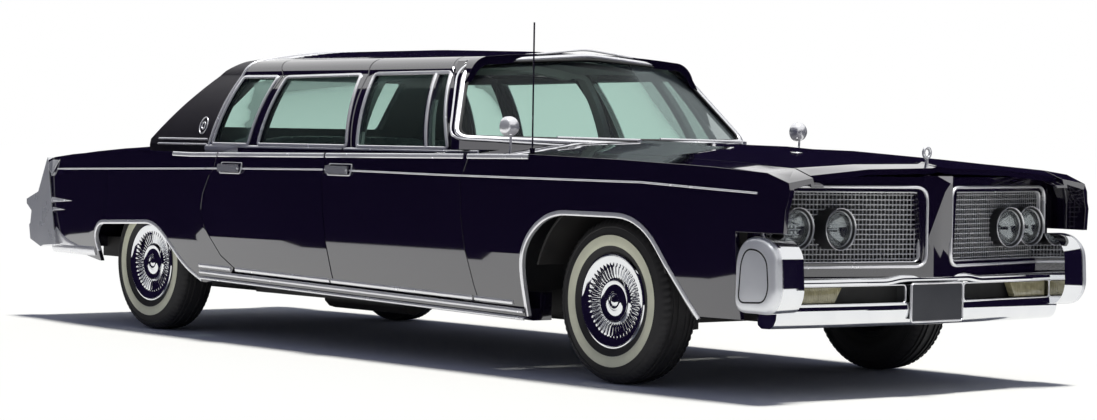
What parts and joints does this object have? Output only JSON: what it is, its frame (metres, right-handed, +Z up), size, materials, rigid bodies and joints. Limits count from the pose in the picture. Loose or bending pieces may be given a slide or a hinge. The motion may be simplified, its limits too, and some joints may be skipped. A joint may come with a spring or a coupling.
{
  "type": "limousine",
  "caption": "Long-wheelbase four-door limousine in black with a sloping rear roof, chrome bumpers and opening doors, hood and boot lid.",
  "frame": {"origin": "on the ground, on the centre line, midway between the foremost and rearmost points", "axes": "+X forwards, +Y to the car's left, +Z up"},
  "size_m": [6.2229, 2.032, 1.57],
  "materials": {
    "black_paint": "gloss",
    "chrome": "polished",
    "dark_steel": "satin",
    "cast_iron": "satin",
    "glass": "gloss",
    "red_lens": "gloss",
    "amber_lens": "gloss",
    "plate": "satin",
    "tyre": "matte",
    "leather": "satin",
    "dash_plastic": "matte"
  },
  "bodies": {
    "body": {"chassis_frame": "dark_steel", "floor_pan": "dark_steel", "wheel_housings": "dark_steel", "sills": "black_paint", "front_fenders": "black_paint", "quarter_panels": "black_paint", "cowl": "black_paint", "centre_pillars": "black_paint", "roof": "black_paint", "windscreen": "glass", "backlight": "glass", "quarter_glass": "glass", "tail_panel": "black_paint", "tail_lamps": "red_lens", "rear_bumper": "chrome", "front_panel": "black_paint", "grille": "chrome", "headlamps": "chrome", "front_bumper": "chrome", "parking_lamps": "amber_lens", "front_plate": "plate", "engine": "cast_iron", "radiator": "dark_steel", "rear_axle": "dark_steel", "propshaft": "dark_steel", "rear_springs": "dark_steel", "front_arms": "dark_steel", "exhaust": "dark_steel", "fuel_tank": "dark_steel", "front_seat": "leather", "rear_seat": "leather", "partition": "black_paint", "dashboard": "dash_plastic", "steering_wheel": "dash_plastic", "mirrors": "chrome", "radio_mast": "black_paint", "wipers": "chrome"},
    "hood": {"hood": "black_paint"},
    "boot_lid": {"boot_lid": "black_paint"},
    "left_front_door": {"left_front_door": "black_paint", "left_front_glass": "glass"},
    "left_rear_door": {"left_rear_door": "black_paint", "left_rear_glass": "glass"},
    "left_knuckle": {"left_knuckle": "cast_iron"},
    "left_front_wheel": {"left_front_tyre": "tyre", "left_front_wheel": "chrome"},
    "left_rear_wheel": {"left_rear_tyre": "tyre", "left_rear_wheel": "chrome"},
    "right_front_door": {"right_front_door": "black_paint", "right_front_glass": "glass"},
    "right_rear_door": {"right_rear_door": "black_paint", "right_rear_glass": "glass"},
    "right_knuckle": {"right_knuckle": "cast_iron"},
    "right_front_wheel": {"right_front_tyre": "tyre", "right_front_wheel": "chrome"},
    "right_rear_wheel": {"right_rear_tyre": "tyre", "right_rear_wheel": "chrome"}
  },
  "joints": [
    {"name": "hood_hinge", "type": "hinge", "parent": "body", "child": "hood", "pos_m": [1.1565, 0, 1.056], "axis": [0, -1, 0], "range_deg": [0, 50]},
    {"name": "boot_hinge", "type": "hinge", "parent": "body", "child": "boot_lid", "pos_m": [-1.8825, 0, 1.016], "axis": [0, 1, 0], "range_deg": [0, 60]},
    {"name": "left_front_door_hinge", "type": "hinge", "parent": "body", "child": "left_front_door", "pos_m": [1.0545, 1.002, 0.64], "axis": [0, 0, -1], "range_deg": [0, 65]},
    {"name": "left_rear_door_hinge", "type": "hinge", "parent": "body", "child": "left_rear_door", "pos_m": [-0.0355, 1.002, 0.64], "axis": [0, 0, -1], "range_deg": [0, 65]},
    {"name": "left_steering", "type": "hinge", "parent": "body", "child": "left_knuckle", "pos_m": [1.9615, 0.723, 0.36], "axis": [0, 0, 1], "range_deg": [-30, 30]},
    {"name": "left_front_wheel_spin", "type": "hinge", "parent": "left_knuckle", "child": "left_front_wheel", "pos_m": [1.9615, 0.785, 0.36], "axis": [0, 1, 0], "continuous": true},
    {"name": "left_rear_wheel_spin", "type": "hinge", "parent": "body", "child": "left_rear_wheel", "pos_m": [-1.8355, 0.785, 0.36], "axis": [0, 1, 0], "continuous": true},
    {"name": "right_front_door_hinge", "type": "hinge", "parent": "body", "child": "right_front_door", "pos_m": [1.0545, -1.002, 0.64], "axis": [0, 0, 1], "range_deg": [0, 65]},
    {"name": "right_rear_door_hinge", "type": "hinge", "parent": "body", "child": "right_rear_door", "pos_m": [-0.0355, -1.002, 0.64], "axis": [0, 0, 1], "range_deg": [0, 65]},
    {"name": "right_steering", "type": "hinge", "parent": "body", "child": "right_knuckle", "pos_m": [1.9615, -0.723, 0.36], "axis": [0, 0, 1], "range_deg": [-30, 30]},
    {"name": "right_front_wheel_spin", "type": "hinge", "parent": "right_knuckle", "child": "right_front_wheel", "pos_m": [1.9615, -0.785, 0.36], "axis": [0, 1, 0], "continuous": true},
    {"name": "right_rear_wheel_spin", "type": "hinge", "parent": "body", "child": "right_rear_wheel", "pos_m": [-1.8355, -0.785, 0.36], "axis": [0, 1, 0], "continuous": true}
  ],
  "couplings": [
    {"joint": "right_steering", "follows": "left_steering", "ratio": 1}
  ]
}
